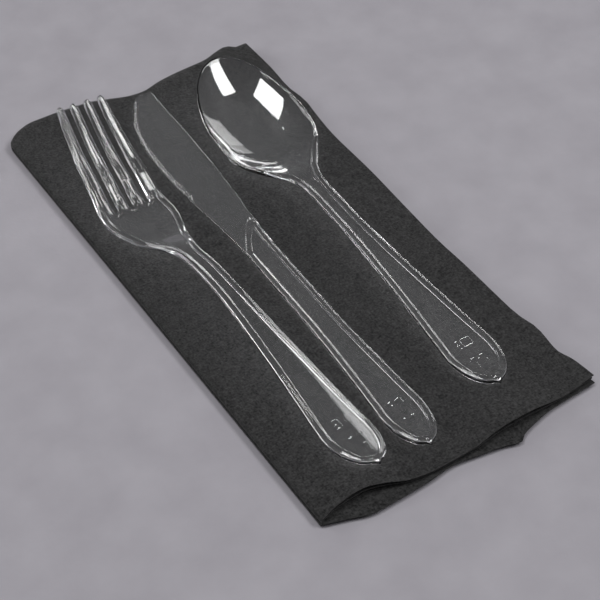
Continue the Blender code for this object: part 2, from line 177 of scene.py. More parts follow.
# knife
KNIFE_LENGTH = 191.1
KNIFE_HANDLE_HALF_WIDTH = 7.75
KNIFE_NECK_HALF_WIDTH = 5.45
KNIFE_TAPER_END = 62.0
BLADE_HALF_THICKNESS = 0.55
CUTTING_HALF_THICKNESS = 0.5
CUTTING_BEVEL = 1.2
BOLSTER_FOOT = 98.0
BOLSTER_RISE = 14.8
BOLSTER_LEFT = -4.7
BOLSTER_WIDTH = 10.9
BOLSTER_POWER = 1.6
BOLSTER_LEAD = 0.2
BOLSTER_STEP = 0.8
BLADE_JOIN = 6                  # length of the change from the handle's outline to the blade's
BLADE_CORNER = 1.6              # how many times sharper the blade's corners are
COLLAR = 3.2
COLLAR_LEAD = 0.4
COLLAR_STEP = 0.5
GROOVE_DEPTH = 0.12
GROOVE_WIDTH = 0.25
GROOVE_FADE = 0.6
SPINE = ((104, 5.7), (113, 6.3), (127, 7.7), (147, 8.7), (167, 9.1), (189.8, 9.3))
CUTTING_EDGE = ((104, 5.5), (117, 6.6), (132, 8.2), (147, 9.2), (157, 9.0), (167, 8.1),
                (173, 6.8), (178.5, 4.8), (184.5, 1.5), (188.8, -1.8), (KNIFE_LENGTH, -5.4))
TOOTH_START = 132.0
TOOTH_END = 188.0
TOOTH_PITCH = 1.4
TOOTH_DEPTH = 0.3
GULLET_DEPTH = 0.42
GULLET_LENGTH = 2.1
GULLET_FADE = 0.7
GULLET_EDGE = 0.2
NOTCH_FADE = 1.2
POINT_START = 185.0
POINT_SHARE = 0.79
POINT_BLENDS = (1.0, 0.85, 0.7, 0.5, 0.3, 0.15)     # evenness of the last rows, from the point back
POINT_COLUMN_RISE = 0.08
POINT_ROW_RISE = 0.25
KNIFE_COLUMNS = 50
KNIFE_TURN = -0.7

# napkin
NAPKIN_WIDTH = 102.0
NAPKIN_LENGTH = 208.0
PLY = 0.22
PLY_PITCH = 0.45
CROSS_FOLD_GAP = 0.30
BUNDLE = 3 * PLY_PITCH + PLY
NAPKIN_MIDDLE = BUNDLE + CROSS_FOLD_GAP / 2         # height of the middle of the fold across
SHORT_PLY = 1.5                 # how far in from the right the inner cut edge lies
UPPER_SPREAD = 0.15             # how much further in or out each ply's near edge lies
LOWER_SPREAD = -0.3
FAR_PULL = (-30, 120)
NEAR_PULL = (40, 64)
LIFT_REACH = 11
WAVE_HEIGHT = 0.25
NEAR_RUN = 24                   # lengths of the close rows at the two ends
FAR_RUN = 12
PLY_COLUMNS = 46
FOLD_STEPS = 10

# studio, in metres
FLOOR_HALF_SIZE = 3.0
FLOOR_GAP = 0.0001
LIGHT_DISTANCE = 1.2
CAMERA_AZIMUTH = -33.478
CAMERA_ELEVATION = 47.029
CAMERA_DISTANCE = 0.534663
CAMERA_TARGET = (-0.004073, -0.020005, -0.0025)
LENS = 96
SENSOR = 36


# curves

def smooth(t):
    t = np.clip(t, 0.0, 1.0)
    return t * t * (3 - 2 * t)


def rise(y, start, length):
    """From 0 before start to 1 a length after it."""
    return smooth((y - start) / length)


def curve(points):
    """A function through the points that never overshoots them."""
    xs, ys = np.array(points, float).T
    chords = np.diff(ys) / np.diff(xs)
    slopes = np.concatenate([chords[:1], np.zeros(len(xs) - 2), chords[-1:]])
    same = chords[:-1] * chords[1:] > 0
    sums = np.where(same, chords[:-1] + chords[1:], 1.0)
    slopes[1:-1] = np.where(same, 2 * chords[:-1] * chords[1:] / sums, 0.0)

    def value(t):
        t = np.clip(t, xs[0], xs[-1])
        i = np.clip(np.searchsorted(xs, t, side="right") - 1, 0, len(xs) - 2)
        h = xs[i + 1] - xs[i]
        u = (t - xs[i]) / h
        low = (2 * u ** 3 - 3 * u ** 2 + 1) * ys[i] + h * (u ** 3 - 2 * u ** 2 + u) * slopes[i]
        high = (3 * u ** 2 - 2 * u ** 3) * ys[i + 1] + h * (u ** 3 - u ** 2) * slopes[i + 1]
        return low + high

    return value


def stations(*runs):
    """Stations from runs of (start, stop, pitch), each run without its stop."""
    parts = []
    for start, stop, pitch in runs:
        count = max(1, round((stop - start) / pitch))
        parts.append(start + (stop - start) * np.arange(count) / count)
    return np.concatenate(parts)


def end_stations():
    """Stations along the end of a handle, closest together at its point."""
    return (HANDLE_END * (1 - np.cos(math.pi / 2 * np.arange(END_STEPS) / END_STEPS)))[:END_USED]


def handle_half_width(y, widest, neck, taper_end):
    end = widest * np.sqrt(1 - (1 - np.clip(y / HANDLE_END, 0, 1)) ** END_POWER)
    t = np.clip((y - HANDLE_END) / (taper_end - HANDLE_END), 0, 1)
    return np.where(y < HANDLE_END, end, neck + (widest - neck) * (1 - t) ** TAPER_POWER)


# plates: the closed mesh of a moulding, from rows of plan points

def moved_in(xs, ys, distance, closed_far_end):
    """Move a right-hand outline inwards, and stop it where it meets the middle line."""
    dx = np.gradient(xs)
    dy = np.gradient(ys)
    length = np.hypot(dx, dy)
    mx = xs - dy / length * distance
    my = ys + dx / length * distance
    half = len(xs) // 2

    def close(outside, inside, rows):
        t = mx[inside] / (mx[inside] - mx[outside])
        my[rows] = my[inside] + (my[outside] - my[inside]) * t
        mx[rows] = 0.0

    first = int(np.argmax(mx[:half] > 0))
    if first > 0:
        close(first - 1, first, slice(0, first))
    if closed_far_end:
        last = len(xs) - 1 - int(np.argmax(mx[:half:-1] > 0))
        if last < len(xs) - 1:
            close(last + 1, last, slice(last + 1, len(xs)))
    return mx, my


def nub(points):
    """Pull the very end of a handle out into the small nub of its gate."""
    x, y = points[..., 0], points[..., 1]
    pull = NUB * np.exp(-(x / NUB_REACH) ** 2) * np.exp(-np.maximum(y, 0) ** 2)
    points[..., 1] = y - pull
    return points


def rows_across(right, left, rings, columns, closed_far_end=False):
    """Rows of plan points (x, y, distance from the edge), from outlines both given with +x."""
    sides = []
    for outline, sign in ((left, -1), (right, 1)):
        lines = [moved_in(*outline, ring, closed_far_end) for ring in rings]
        points = [np.stack([sign * x, y, np.full(len(x), ring)], -1)
                  for (x, y), ring in zip(lines, rings)]
        sides.append(np.stack(points, 1))
    start, end = sides[0][:, -1:], sides[1][:, -1:]
    t = np.arange(1, columns)[None, :, None] / columns
    middle = start + (end - start) * t
    return nub(np.concatenate([sides[0], middle, sides[1][:, ::-1]], 1))


class Plate:
    """Grids of plan points raised onto a curved middle surface, as a top and a bottom face."""

    def __init__(self, height, halves):
        self.height = height
        self.halves = halves
        self.verts = []
        self.faces = []
        self.count = 0

    def add_grid(self, plan):
        """plan is an array of rows towards +Y, each of points towards +X."""
        rows, columns, values = plan.shape
        flat = plan.reshape(-1, values)
        x, y = flat[:, 0], flat[:, 1]
        normal = np.stack([self.height(x - SLOPE_STEP, y) - self.height(x + SLOPE_STEP, y),
                           self.height(x, y - SLOPE_STEP) - self.height(x, y + SLOPE_STEP),
                           np.full(len(x), 2 * SLOPE_STEP)], -1)
        normal /= np.linalg.norm(normal, axis=1)[:, None]
        middle = np.stack([x, y, self.height(x, y)], -1)
        top, bottom = self.halves(*flat.T)
        index = np.arange(rows * columns).reshape(rows, columns)
        a, b = index[:-1, :-1].ravel(), index[:-1, 1:].ravel()
        c, d = index[1:, 1:].ravel(), index[1:, :-1].ravel()
        upper = np.stack([a, b, c, d], -1) + self.count
        lower = np.stack([d, c, b, a], -1) + self.count + rows * columns
        self.verts += [middle + normal * top[:, None], middle - normal * bottom[:, None]]
        self.faces += [upper, lower]
        self.count += 2 * rows * columns

    def build(self, node, material, turn, tilt=0.0):
        """Weld the grids into one body and lay it where the CAD node is."""
        verts = np.concatenate(self.verts)
        piece = welded(node + "_moulding", verts, np.concatenate(self.faces), material)
        turn, tilt = math.radians(turn), math.radians(tilt)
        co = coordinates(piece)
        x = co[:, 0] * math.cos(tilt) + co[:, 2] * math.sin(tilt)
        z = co[:, 2] * math.cos(tilt) - co[:, 0] * math.sin(tilt)
        y = co[:, 1]
        co = np.stack([x * math.cos(turn) - y * math.sin(turn),
                       x * math.sin(turn) + y * math.cos(turn), z], -1)
        low, high = (np.array(corner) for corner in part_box(node))
        move = (low + high - co.min(0) - co.max(0)) / 2
        move[2] = low[2] - co[:, 2].min()
        piece.data.vertices.foreach_set("co", (co + move).ravel())
        piece.data.update()
        finish_piece(piece, node)


def coordinates(piece):
    co = np.empty(len(piece.data.vertices) * 3)
    piece.data.vertices.foreach_get("co", co)
    return co.reshape(-1, 3)


def welded(name, verts, faces, material):
    """A mesh object in metres, with equal points joined and collapsed faces left out."""
    keys = np.round(verts / WELD).astype(np.int64)
    keys, first, same = np.unique(keys, axis=0, return_index=True, return_inverse=True)
    faces = same.reshape(-1)[faces]
    kept = []
    seen = set()
    for face in faces.tolist():
        ring = [p for i, p in enumerate(face) if p != face[i - 1]]
        if len(set(ring)) != len(ring) or len(ring) < 3:
            continue
        key = tuple(sorted(ring))
        if key not in seen:
            seen.add(key)
            kept.append(ring)
    mesh = bpy.data.meshes.new(name)
    mesh.from_pydata((verts[first] * MM).tolist(), [], kept)
    mesh.materials.append(material)
    piece = bpy.data.objects.new(name, mesh)
    bpy.context.collection.objects.link(piece)
    return piece


def finish_piece(piece, node):
    piece.data.shade_smooth()
    piece.data.set_sharp_from_angle(angle=math.radians(SHARP_ANGLE))
    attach(piece, "root")
    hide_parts(node)


# sections of the mouldings

def corner_half(edge, half):
    """Half thickness near a moulded edge: a steep wall under a small round corner."""
    t = np.clip(edge / CORNER, 0, 1)
    return half * (1 - (1 - t) ** CORNER_POWER) ** (1 / CORNER_POWER)


def rim(edge):
    return 1 - smooth((edge - RIM_START) / (RIM_END - RIM_START))


def line_relief(x, y, lines):
    """Raised lines along segments ((x, y), (x, y))."""
    nearest = np.full(len(x), FAR)
    for (ax, ay), (bx, by) in lines:
        px, py = bx - ax, by - ay
        t = np.clip(((x - ax) * px + (y - ay) * py) / (px * px + py * py), 0, 1)
        nearest = np.minimum(nearest, np.hypot(x - ax - px * t, y - ay - py * t))
    return MARK_HEIGHT * np.exp(-(nearest / MARK_WIDTH) ** 2)


def ring_relief(x, y, middle, radius):
    distance = np.hypot(x, y - middle) - radius
    return MARK_HEIGHT * np.exp(-(distance / MARK_WIDTH) ** 2)


def frame_lines(x, y, width, height):
    """A plain rectangle on its side, with three short bars beside it."""
    corners = [(x, y), (x + width, y), (x + width, y + height), (x, y + height)]
    lines = [(corners[i - 1], corners[i]) for i in range(4)]
    for k in range(3):
        level = y + height * k / 2
        lines.append(((x - BAR_START, level), (x - BAR_STOP, level)))
    return lines


def marks(x, y, size, ring_middle, ring_radius):
    """Plain moulding marks on the end of a handle, and the ring of an ejector pin."""
    shapes = frame_lines(FRAME_LEFT * size, FRAME_FOOT, FRAME_WIDTH * size, FRAME_HEIGHT * size)
    shapes += [((left * size, DASH_LEVEL), (right * size, DASH_LEVEL)) for left, right in DASHES]
    relief = line_relief(x, y, shapes) + ring_relief(x, y, ring_middle, ring_radius)
    return np.where(y < MARKS_REACH, relief, 0.0)


# fork

fork_profile = curve(FORK_PROFILE)


def fork_half_width(y):
    t = (y - FORK_HEAD_START) / (FORK_WIDEST - FORK_HEAD_START)
    head = NECK_HALF_WIDTH + (FORK_HEAD_HALF_WIDTH - NECK_HALF_WIDTH) * smooth(t)
    t = np.clip((y - FORK_WIDEST) / (FORK_LENGTH - FORK_WIDEST), 0, 1)
    tines = FORK_HEAD_HALF_WIDTH + (FORK_TIP_HALF_WIDTH - FORK_HEAD_HALF_WIDTH) * t ** TINE_TAPER_POWER
    handle = handle_half_width(y, HANDLE_HALF_WIDTH, NECK_HALF_WIDTH, TAPER_END)
    return np.where(y < FORK_HEAD_START, handle, np.where(y < FORK_WIDEST, head, tines))


def fork_height(x, y):
    head = rise(y, FORK_HEAD_START, HEAD_BLEND)
    return fork_profile(y) + (HEAD_DISH * head - FORK_CROWN * (1 - head)) * x * x


def fork_halves(x, y, edge, slot, edge_share, slot_share):
    """edge and slot are distances. The shares are the same, scaled with a tine's width."""
    full = HALF_THICKNESS + (TINE_HALF_THICKNESS - HALF_THICKNESS) * rise(y, *TINES_THIN)
    half = corner_half(np.minimum(edge, slot), full)
    lip = 1 - rise(slot_share, LIP_START, LIP_STEP)
    depth = RIM_STEP * (1 - RECESS_FADE * rise(y, *RECESS_FADES))
    recess = depth * (1 - rim(edge_share)) * (1 - lip)
    slope = CHAMFER_FOOT + (1 - CHAMFER_FOOT) * np.clip(slot / CHAMFER, 0, 1)
    top = np.minimum(half, full * slope) - recess
    top += marks(x, y, BROAD_MARKS, *FORK_PIN)
    return top, half - recess


def slot_middle(number, y):
    part = (y - SLOT_ROOT) / (FORK_LENGTH - SLOT_ROOT)
    return number * (SLOT_PITCH_ROOT + (SLOT_PITCH_TIP - SLOT_PITCH_ROOT) * part)


def slot_half(y):
    part = (y - SLOT_ROOT) / (FORK_LENGTH - SLOT_ROOT)
    return SLOT_HALF_ROOT + (SLOT_HALF_TIP - SLOT_HALF_ROOT) * part


def root_arc(number, offset):
    """Half circle round a slot's root as (x, y)."""
    angle = np.radians(-90 + 90 * np.arange(2 * ARC_STEPS + 1) / ARC_STEPS)
    radius = SLOT_HALF_ROOT + offset
    return np.stack([slot_middle(number, SLOT_ROOT) + radius * np.sin(angle),
                     SLOT_ROOT - radius * np.cos(angle)], -1)


def with_distances(points, edge, slot):
    """Plan points of the fork where the shares equal the distances."""
    shape = points.shape[:-1]
    columns = [np.broadcast_to(value, shape) for value in (edge, slot, edge, slot)]
    return np.concatenate([points, np.stack(columns, -1)], -1)


def fork_body():
    """Rows from the handle's end to the arcs round the slots' roots."""
    arcs = np.concatenate([root_arc(-1, SLOT_REACH), root_arc(0, SLOT_REACH)[1:],
                           root_arc(1, SLOT_REACH)[1:]])
    ys = np.concatenate([end_stations(),
                         stations((6.8, MARKS_STOP, 0.15), (MARKS_STOP, 96, 1.2),
                                  (96, FAN_START, 1.0), (FAN_START, SLOT_ROOT, 0.75)),
                         [SLOT_ROOT]])
    ys = ys[np.concatenate([[True], np.diff(ys) > ROW_GAP])]
    outline = (fork_half_width(ys), ys)
    rows = rows_across(outline, outline, HANDLE_RINGS, len(arcs) + 1)
    rings = len(HANDLE_RINGS)
    level = rise(ys, *RIMS_STRAIGHTEN)[:, None]
    for k, ring in enumerate(HANDLE_RINGS):
        straight_x = fork_half_width(ys) - ring
        for column, sign in ((k, -1), (rows.shape[1] - 1 - k, 1)):
            straight = np.stack([sign * straight_x, ys], -1)
            rows[:, column, :2] += (straight - rows[:, column, :2]) * level
    first = int(np.argmax(ys > FAN_START))
    for i in range(first, len(ys)):
        t = (i - first) / (len(ys) - 1 - first)
        rows[i, rings:-rings, :2] = rows[first, rings:-rings, :2] * (1 - t) + arcs * t
    return with_distances(rows[..., :2], rows[..., 2], FAR)


def tine_edges(number, y):
    """Left and right edges of tine -1.5, -0.5, 0.5 or 1.5, which rounds off at its tip."""
    if number < -1:
        left = -fork_half_width(y)
    else:
        left = slot_middle(number - 0.5, y) + slot_half(y)
    if number > 1:
        right = fork_half_width(y)
    else:
        right = slot_middle(number + 0.5, y) - slot_half(y)
    middle = (left + right) / 2
    t = np.clip((y - FORK_LENGTH + TIP_ROUND) / TIP_ROUND, 0, 1)
    narrowing = np.sqrt(1 - t * t)
    return middle + (left - middle) * narrowing, middle + (right - middle) * narrowing


def tine_rows(number):
    straight = SLOT_ROOT + (FORK_LENGTH - TIP_ROUND - SLOT_ROOT) * np.arange(TINE_ROWS) / TINE_ROWS
    quarter = math.pi / 2 * np.arange(TIP_ROWS + 1) / TIP_ROWS
    tip = FORK_LENGTH - TIP_ROUND + TIP_ROUND * np.sin(quarter)
    ys = np.concatenate([straight, tip])
    left, right = tine_edges(number, ys)
    root_left, root_right = tine_edges(number, np.array(SLOT_ROOT))
    split_root = slot_middle(number, SLOT_ROOT)
    share_root = (split_root - root_left) / (root_right - root_left)
    part = (ys - SLOT_ROOT) / (FORK_LENGTH - SLOT_ROOT)
    split = left + (right - left) * (share_root + (0.5 - share_root) * part)
    far = np.full_like(ys, FAR)
    sides = []
    for edge, root, outer in ((left, root_left, number < -1), (right, root_right, number > 1)):
        rings = HANDLE_RINGS if outer else SLOT_RINGS
        room = np.abs(split - edge)
        scale = room / abs(split_root - root)
        inward = np.sign(split_root - root)
        points = []
        for ring in rings:
            distance = ring * scale
            share = np.full_like(ys, ring)
            values = [distance, far, share, far] if outer else [far, distance, far, share]
            points.append(np.stack([edge + inward * distance, ys] + values, -1))
        sides.append(np.stack(points, 1))
    middle = np.stack([split, ys, split - left, right - split, far, far], -1)[:, None]
    return np.concatenate([sides[0], middle, sides[1][:, ::-1]], 1)


def make_fork(material):
    plate = Plate(fork_height, fork_halves)
    plate.add_grid(fork_body())
    offsets = SLOT_RINGS + (SLOT_REACH,)
    for number in (-1, 0, 1):
        rings = [with_distances(root_arc(number, ring), FAR, ring) for ring in offsets[::-1]]
        plate.add_grid(np.stack(rings))
    for number in (-1.5, -0.5, 0.5, 1.5):
        plate.add_grid(tine_rows(number))
    plate.build("fork", material, FORK_TURN, FORK_TILT)


# spoon

spoon_profile = curve(SPOON_PROFILE)
shoulder = curve(SHOULDER)


def spoon_half_width(y):
    handle = handle_half_width(y, HANDLE_HALF_WIDTH, NECK_HALF_WIDTH, TAPER_END)
    t = np.clip((y - BOWL_WIDEST) / (SPOON_LENGTH - BOWL_WIDEST), 0, 1)
    bowl = np.where(y < BOWL_WIDEST, shoulder(y), BOWL_HALF_WIDTH * np.sqrt(1 - t * t))
    return np.where(y < SHOULDER[0][0], handle, bowl)


def spoon_height(x, y):
    reach = np.where(y > BOWL_DEEPEST, SPOON_LENGTH - BOWL_DEEPEST, BOWL_BACK)
    along = (y - BOWL_DEEPEST) / reach
    inside = np.maximum(0.0, 1 - along * along - (x / BOWL_HALF_WIDTH) ** 2)
    return spoon_profile(y) - BOWL_DEPTH * inside ** (BOWL_POWER + BOWL_BACK_POWER * smooth(-along))


def spoon_halves(x, y, edge):
    full = HALF_THICKNESS + (BOWL_HALF_THICKNESS - HALF_THICKNESS) * rise(y, *BOWL_THINS)
    width = 1 - RIM_NARROWING * rise(y, *RIM_NARROWS)
    inner = rim(edge / width)
    depth = RIM_STEP + STEP_DEEPENING * rise(y, *STEP_DEEPENS) - STEP_FADING * rise(y, *STEP_FADES)
    half = corner_half(edge, full) - depth * (1 - inner)
    top = half + marks(x, y, BROAD_MARKS, *SPOON_PIN)
    from_break = np.hypot(x - GATE_BREAK_X, y - GATE_BREAK_Y)
    gate = ring_relief(x - GATE_X, y, GATE_Y, GATE_RADIUS)
    gate *= rise(from_break, GATE_BREAK_RADIUS, GATE_BREAK_FADE)
    return top + np.where(np.abs(y - GATE_Y) < GATE_REACH, gate * GATE_SCALE, 0.0), half


def make_spoon(material):
    plate = Plate(spoon_height, spoon_halves)
    reach = SPOON_LENGTH - BOWL_WIDEST
    quarter = math.pi / 2 * np.arange(SPOON_TIP_ROWS + 1) / SPOON_TIP_ROWS
    ys = np.concatenate([end_stations(),
                         stations((6.4, MARKS_STOP, 0.15), (MARKS_STOP, 99, 1.2),
                                  (99, 109, 0.25), (109, BOWL_WIDEST, 0.8)),
                         BOWL_WIDEST + reach * np.sin(quarter)])
    ys = ys[np.concatenate([[True], np.diff(ys) > SPOON_ROW_GAP])]
    outline = (spoon_half_width(ys), ys)
    plate.add_grid(rows_across(outline, outline, HANDLE_RINGS, SPOON_COLUMNS, True))
    plate.build("spoon", material, SPOON_TURN)


# knife

spine = curve(SPINE)
cutting_edge = curve(CUTTING_EDGE)


def bolster_line(x):
    t = np.clip((x - BOLSTER_LEFT) / BOLSTER_WIDTH, 0, 1)
    return BOLSTER_FOOT + BOLSTER_RISE * (1 - (1 - t) ** BOLSTER_POWER)


def teeth_wave(y):
    """1 at the bottom of each gullet, 0 between the gullets and away from the teeth."""
    wave = np.sin(math.pi * (y - TOOTH_START) / TOOTH_PITCH) ** 2
    return np.where((y > TOOTH_START) & (y < TOOTH_END), wave, 0.0)


def knife_height(x, y):
    return np.full_like(x, HALF_THICKNESS)


def knife_halves(x, y, edge):
    past = y - bolster_line(x)
    rims = np.maximum(rim(edge), smooth((past + COLLAR + COLLAR_LEAD) / COLLAR_STEP))
    groove = GROOVE_DEPTH * np.exp(-((past + COLLAR / 2) / GROOVE_WIDTH) ** 2)
    handle = corner_half(edge, HALF_THICKNESS) - RIM_STEP * (1 - rims)
    handle -= groove * smooth(edge / GROOVE_FADE)
    cut = x + cutting_edge(y)
    bevel = smooth(cut / CUTTING_BEVEL)
    wall = CUTTING_HALF_THICKNESS + (BLADE_HALF_THICKNESS - CUTTING_HALF_THICKNESS) * bevel
    blade = corner_half(edge * BLADE_CORNER, wall)
    gullet = teeth_wave(y) * smooth((GULLET_LENGTH - cut) / GULLET_FADE)
    blade -= GULLET_DEPTH * gullet * smooth(edge / GULLET_EDGE)
    part = smooth((past + BOLSTER_LEAD) / BOLSTER_STEP)
    half = np.maximum(handle + (blade - handle) * part, 0.0)
    return half + marks(x, y, NARROW_MARKS, *KNIFE_PIN), half


def make_knife(material):
    plate = Plate(knife_height, knife_halves)
    ys = np.concatenate([end_stations(),
                         stations((6.4, MARKS_STOP, 0.17), (MARKS_STOP, 94, 1.2),
                                  (94, 116, 0.25), (116, TOOTH_START, 2.0),
                                  (TOOTH_START, TOOTH_END, TOOTH_PITCH / 8),
                                  (TOOTH_END, KNIFE_LENGTH, 0.25)), [KNIFE_LENGTH]])
    ys = ys[np.concatenate([[True], np.diff(ys) > ROW_GAP])]
    handle = handle_half_width(ys, KNIFE_HANDLE_HALF_WIDTH, KNIFE_NECK_HALF_WIDTH, KNIFE_TAPER_END)
    join = rise(ys, BOLSTER_FOOT, BLADE_JOIN)
    right = handle + (spine(ys) - handle) * join
    left = handle + (cutting_edge(ys) - handle) * join
    right_ys = np.minimum(ys, POINT_START + (ys - POINT_START) * POINT_SHARE)
    rows = rows_across((right, right_ys), (left, ys), HANDLE_RINGS, KNIFE_COLUMNS)
    count = rows.shape[1]
    share = np.arange(count)[:, None] / (count - 1)
    for back, blend in enumerate(POINT_BLENDS, 1):
        even = rows[-back, 0] + (rows[-back, -1] - rows[-back, 0]) * share
        rows[-back] += (even - rows[-back]) * blend
        room = np.minimum(share[:, 0], 1 - share[:, 0]) * (count - 1) * POINT_COLUMN_RISE
        rows[-back, :, 2] = np.minimum(np.minimum(rows[-back, :, 2] + room, RIM_END),
                                       (back - 1) * POINT_ROW_RISE)
    rows[-len(POINT_BLENDS):, 0, 2] = 0.0
    rows[-len(POINT_BLENDS):, -1, 2] = 0.0
    x, y, edge = rows[..., 0], rows[..., 1], rows[..., 2]
    notch = teeth_wave(y) * (1 - smooth(edge / NOTCH_FADE))
    rows[..., 0] = x + np.where(x < 0, TOOTH_DEPTH * notch, 0.0)
    plate.add_grid(rows)
    plate.build("knife", material, KNIFE_TURN)


# napkin

NEAR_TOP = curve(((-51, -101.5), (-42, -100), (-35, -99.8), (-28, -101.3), (-20, -104.0),
                  (-10, -105), (3, -105), (12, -104.2), (24, -104), (35, -104.2), (51, -103)))
NEAR_LOW = curve(((-51, -100.8), (-44, -103), (-34, -105.9), (-15, -105.5), (-6, -104.6),
                  (6, -106.3), (12, -107.4), (17.4, -109), (20, -107.2), (26, -105.4),
                  (34, -104), (51, -103.3)))
LIFT_TOP = curve(((-51, 0), (-45, 1.2), (-37, 2.3), (-29, 1.6), (-20, 0.4), (-12, 0), (1, 0),
                  (9, 1.0), (18, 2.0), (26, 1.7), (34, 0.6), (40, 0.1), (51, 0.5)))
LIFT_SECOND = curve(((-51, 0), (-44, 0.5), (-36, 0.8), (-28, 0.5), (-20, 0), (1, 0), (10, 0.2),
                     (18, 0.4), (26, 0.2), (34, 0), (51, 0)))
FAR_EDGE = curve(((-52, 96), (-49.7, 100), (-44.7, 103.8), (-39, 105.5), (-32, 105.4), (-25, 104.8),
                  (-16, 103.4), (-9, 100.7), (-2, 98.2), (2.4, 97.8), (12, 100), (21, 101),
                  (32, 101.4), (39.6, 103.4), (43.6, 104), (46, 101.4), (51, 101.2)))
RIGHT_EDGE = curve(((-104, 52), (-95, 51), (-89, 49.3), (-78, 50.3), (-68, 48.5), (-41, 48),
                    (-28, 47.5), (-6, 48.1), (15, 48.6), (36, 48.3), (51, 49.4), (62, 50.7),
                    (72, 49.6), (86, 50.4), (104, 50.2)))
LEFT_EDGE = curve(((-104, 50.6), (0, 51.2), (104, 52)))


def ply_height(ply):
    """Height of a ply's middle above the middle of the fold across, ply 1 outermost."""
    return CROSS_FOLD_GAP / 2 + PLY / 2 + (4 - ply) * PLY_PITCH


def section_line():
    """Middle line of the four-ply bundle as (x, height, ply), from one cut edge to the other."""
    half = NAPKIN_WIDTH / 2
    outer = (ply_height(1) - ply_height(4)) / 2
    inner = (ply_height(2) - ply_height(3)) / 2
    left = -half + outer + PLY / 2
    right = half - inner - PLY / 2
    parts = []

    def straight(start, stop, ply):
        t = np.arange(PLY_COLUMNS + 1) / PLY_COLUMNS
        parts.append(np.stack([start + (stop - start) * t, np.full_like(t, ply_height(ply)),
                               np.full_like(t, ply)], -1))

    def turn(x, plies, side):
        first, last = plies
        t = np.arange(1, FOLD_STEPS) / FOLD_STEPS
        middle = (ply_height(first) + ply_height(last)) / 2
        radius = abs(ply_height(first) - ply_height(last)) / 2
        direction = np.sign(ply_height(first) - ply_height(last))
        parts.append(np.stack([x + side * radius * np.sin(math.pi * t),
                               middle + direction * radius * np.cos(math.pi * t),
                               first + (last - first) * t], -1))

    straight(half, left, 1)
    turn(left, (1, 4), -1)
    straight(left, right, 4)
    turn(right, (4, 3), 1)
    straight(right, left, 3)
    turn(left, (3, 2), -1)
    straight(left, half - SHORT_PLY, 2)
    return np.concatenate(parts)


def thicken(line):
    """Closed outline of the section, as (x, height, ply), with the paper's thickness."""
    along = np.gradient(line[:, :2], axis=0)
    along /= np.linalg.norm(along, axis=1)[:, None]
    across = np.stack([-along[:, 1], along[:, 0], np.zeros(len(line))], -1) * PLY / 2
    return np.concatenate([line + across, (line - across)[::-1]])


def napkin_points(outline, turn, y):
    """A row of the sweep. turn is 0 in the upper bundle and 180 in the lower."""
    x, height, ply = outline.T
    near = NAPKIN_LENGTH / 2
    width = NAPKIN_WIDTH / 2
    side = np.where(x > 0, RIGHT_EDGE(y), LEFT_EDGE(y)) / width
    new_x = x * side
    angle = math.radians(turn)
    upper = turn < 90
    far_pull = rise(y, *FAR_PULL)
    edge = NEAR_TOP(x) if upper else NEAR_LOW(x)
    spread = (ply - 1) * (UPPER_SPREAD if upper else LOWER_SPREAD)
    near_pull = rise(-y, *NEAR_PULL)
    new_y = y + (FAR_EDGE(x) - near) * far_pull + (edge + spread + near) * near_pull
    reach = np.exp(-((y + near) / LIFT_REACH) ** 2)
    lift = np.zeros_like(x)
    if upper:
        second = smooth(ply - 1)
        lift = (LIFT_TOP(x) * (1 - second) + LIFT_SECOND(x) * second * smooth(4 - ply)) * reach
        lift += WAVE_HEIGHT * np.sin(x * 0.11 + y * 0.05) * np.sin(y * 0.043 + 1.0) * smooth(2 - ply)
    fold = NAPKIN_MIDDLE + height * math.cos(angle) + lift
    return np.stack([new_x, new_y + height * math.sin(angle), fold], -1)


def make_napkin(material):
    near = -NAPKIN_LENGTH / 2
    far = NAPKIN_LENGTH / 2 - NAPKIN_MIDDLE
    outline = thicken(section_line())
    run = np.concatenate([near + NEAR_RUN * np.linspace(0, 1, 14) ** 1.4,
                          np.linspace(near + NEAR_RUN + 4, far - FAR_RUN, 34),
                          far - FAR_RUN + FAR_RUN * np.linspace(0, 1, 7)[1:]])
    path = [(0, y) for y in run]
    path += [(180 * k / FOLD_STEPS, far) for k in range(1, FOLD_STEPS)]
    path += [(180, y) for y in run[::-1]]
    rows = np.stack([napkin_points(outline, turn, y) for turn, y in path])
    count = len(outline)
    index = np.arange(rows.shape[0] * count).reshape(-1, count)
    ahead = np.roll(index, -1, axis=1)
    quads = np.stack([index[:-1], ahead[:-1], ahead[1:], index[1:]], -1).reshape(-1, 4)
    k = np.arange(count // 2 - 1)
    mate = count - 1 - k
    last = (len(path) - 1) * count
    caps = [np.stack([k, mate, mate - 1, k + 1], -1),
            np.stack([last + k, last + k + 1, last + mate - 1, last + mate], -1)]
    faces = np.concatenate([quads] + caps)
    piece = welded("napkin_sheet", rows.reshape(-1, 3), faces, material)
    finish_piece(piece, "napkin")


# materials

def new_material(name):
    material = bpy.data.materials.new(name)
    material.use_nodes = True
    tree = material.node_tree
    return material, tree, tree.nodes["Principled BSDF"]


def noise(tree, scale, detail, stretch=(1, 1, 1)):
    """Noise in the frame's own coordinates. scale is in cells per metre."""
    place = tree.nodes.new("ShaderNodeTexCoord")
    mapping = tree.nodes.new("ShaderNodeMapping")
    mapping.inputs["Scale"].default_value = stretch
    texture = tree.nodes.new("ShaderNodeTexNoise")
    texture.inputs["Scale"].default_value = scale
    texture.inputs["Detail"].default_value = detail
    tree.links.new(place.outputs["Object"], mapping.inputs["Vector"])
    tree.links.new(mapping.outputs["Vector"], texture.inputs["Vector"])
    return texture.outputs["Fac"]


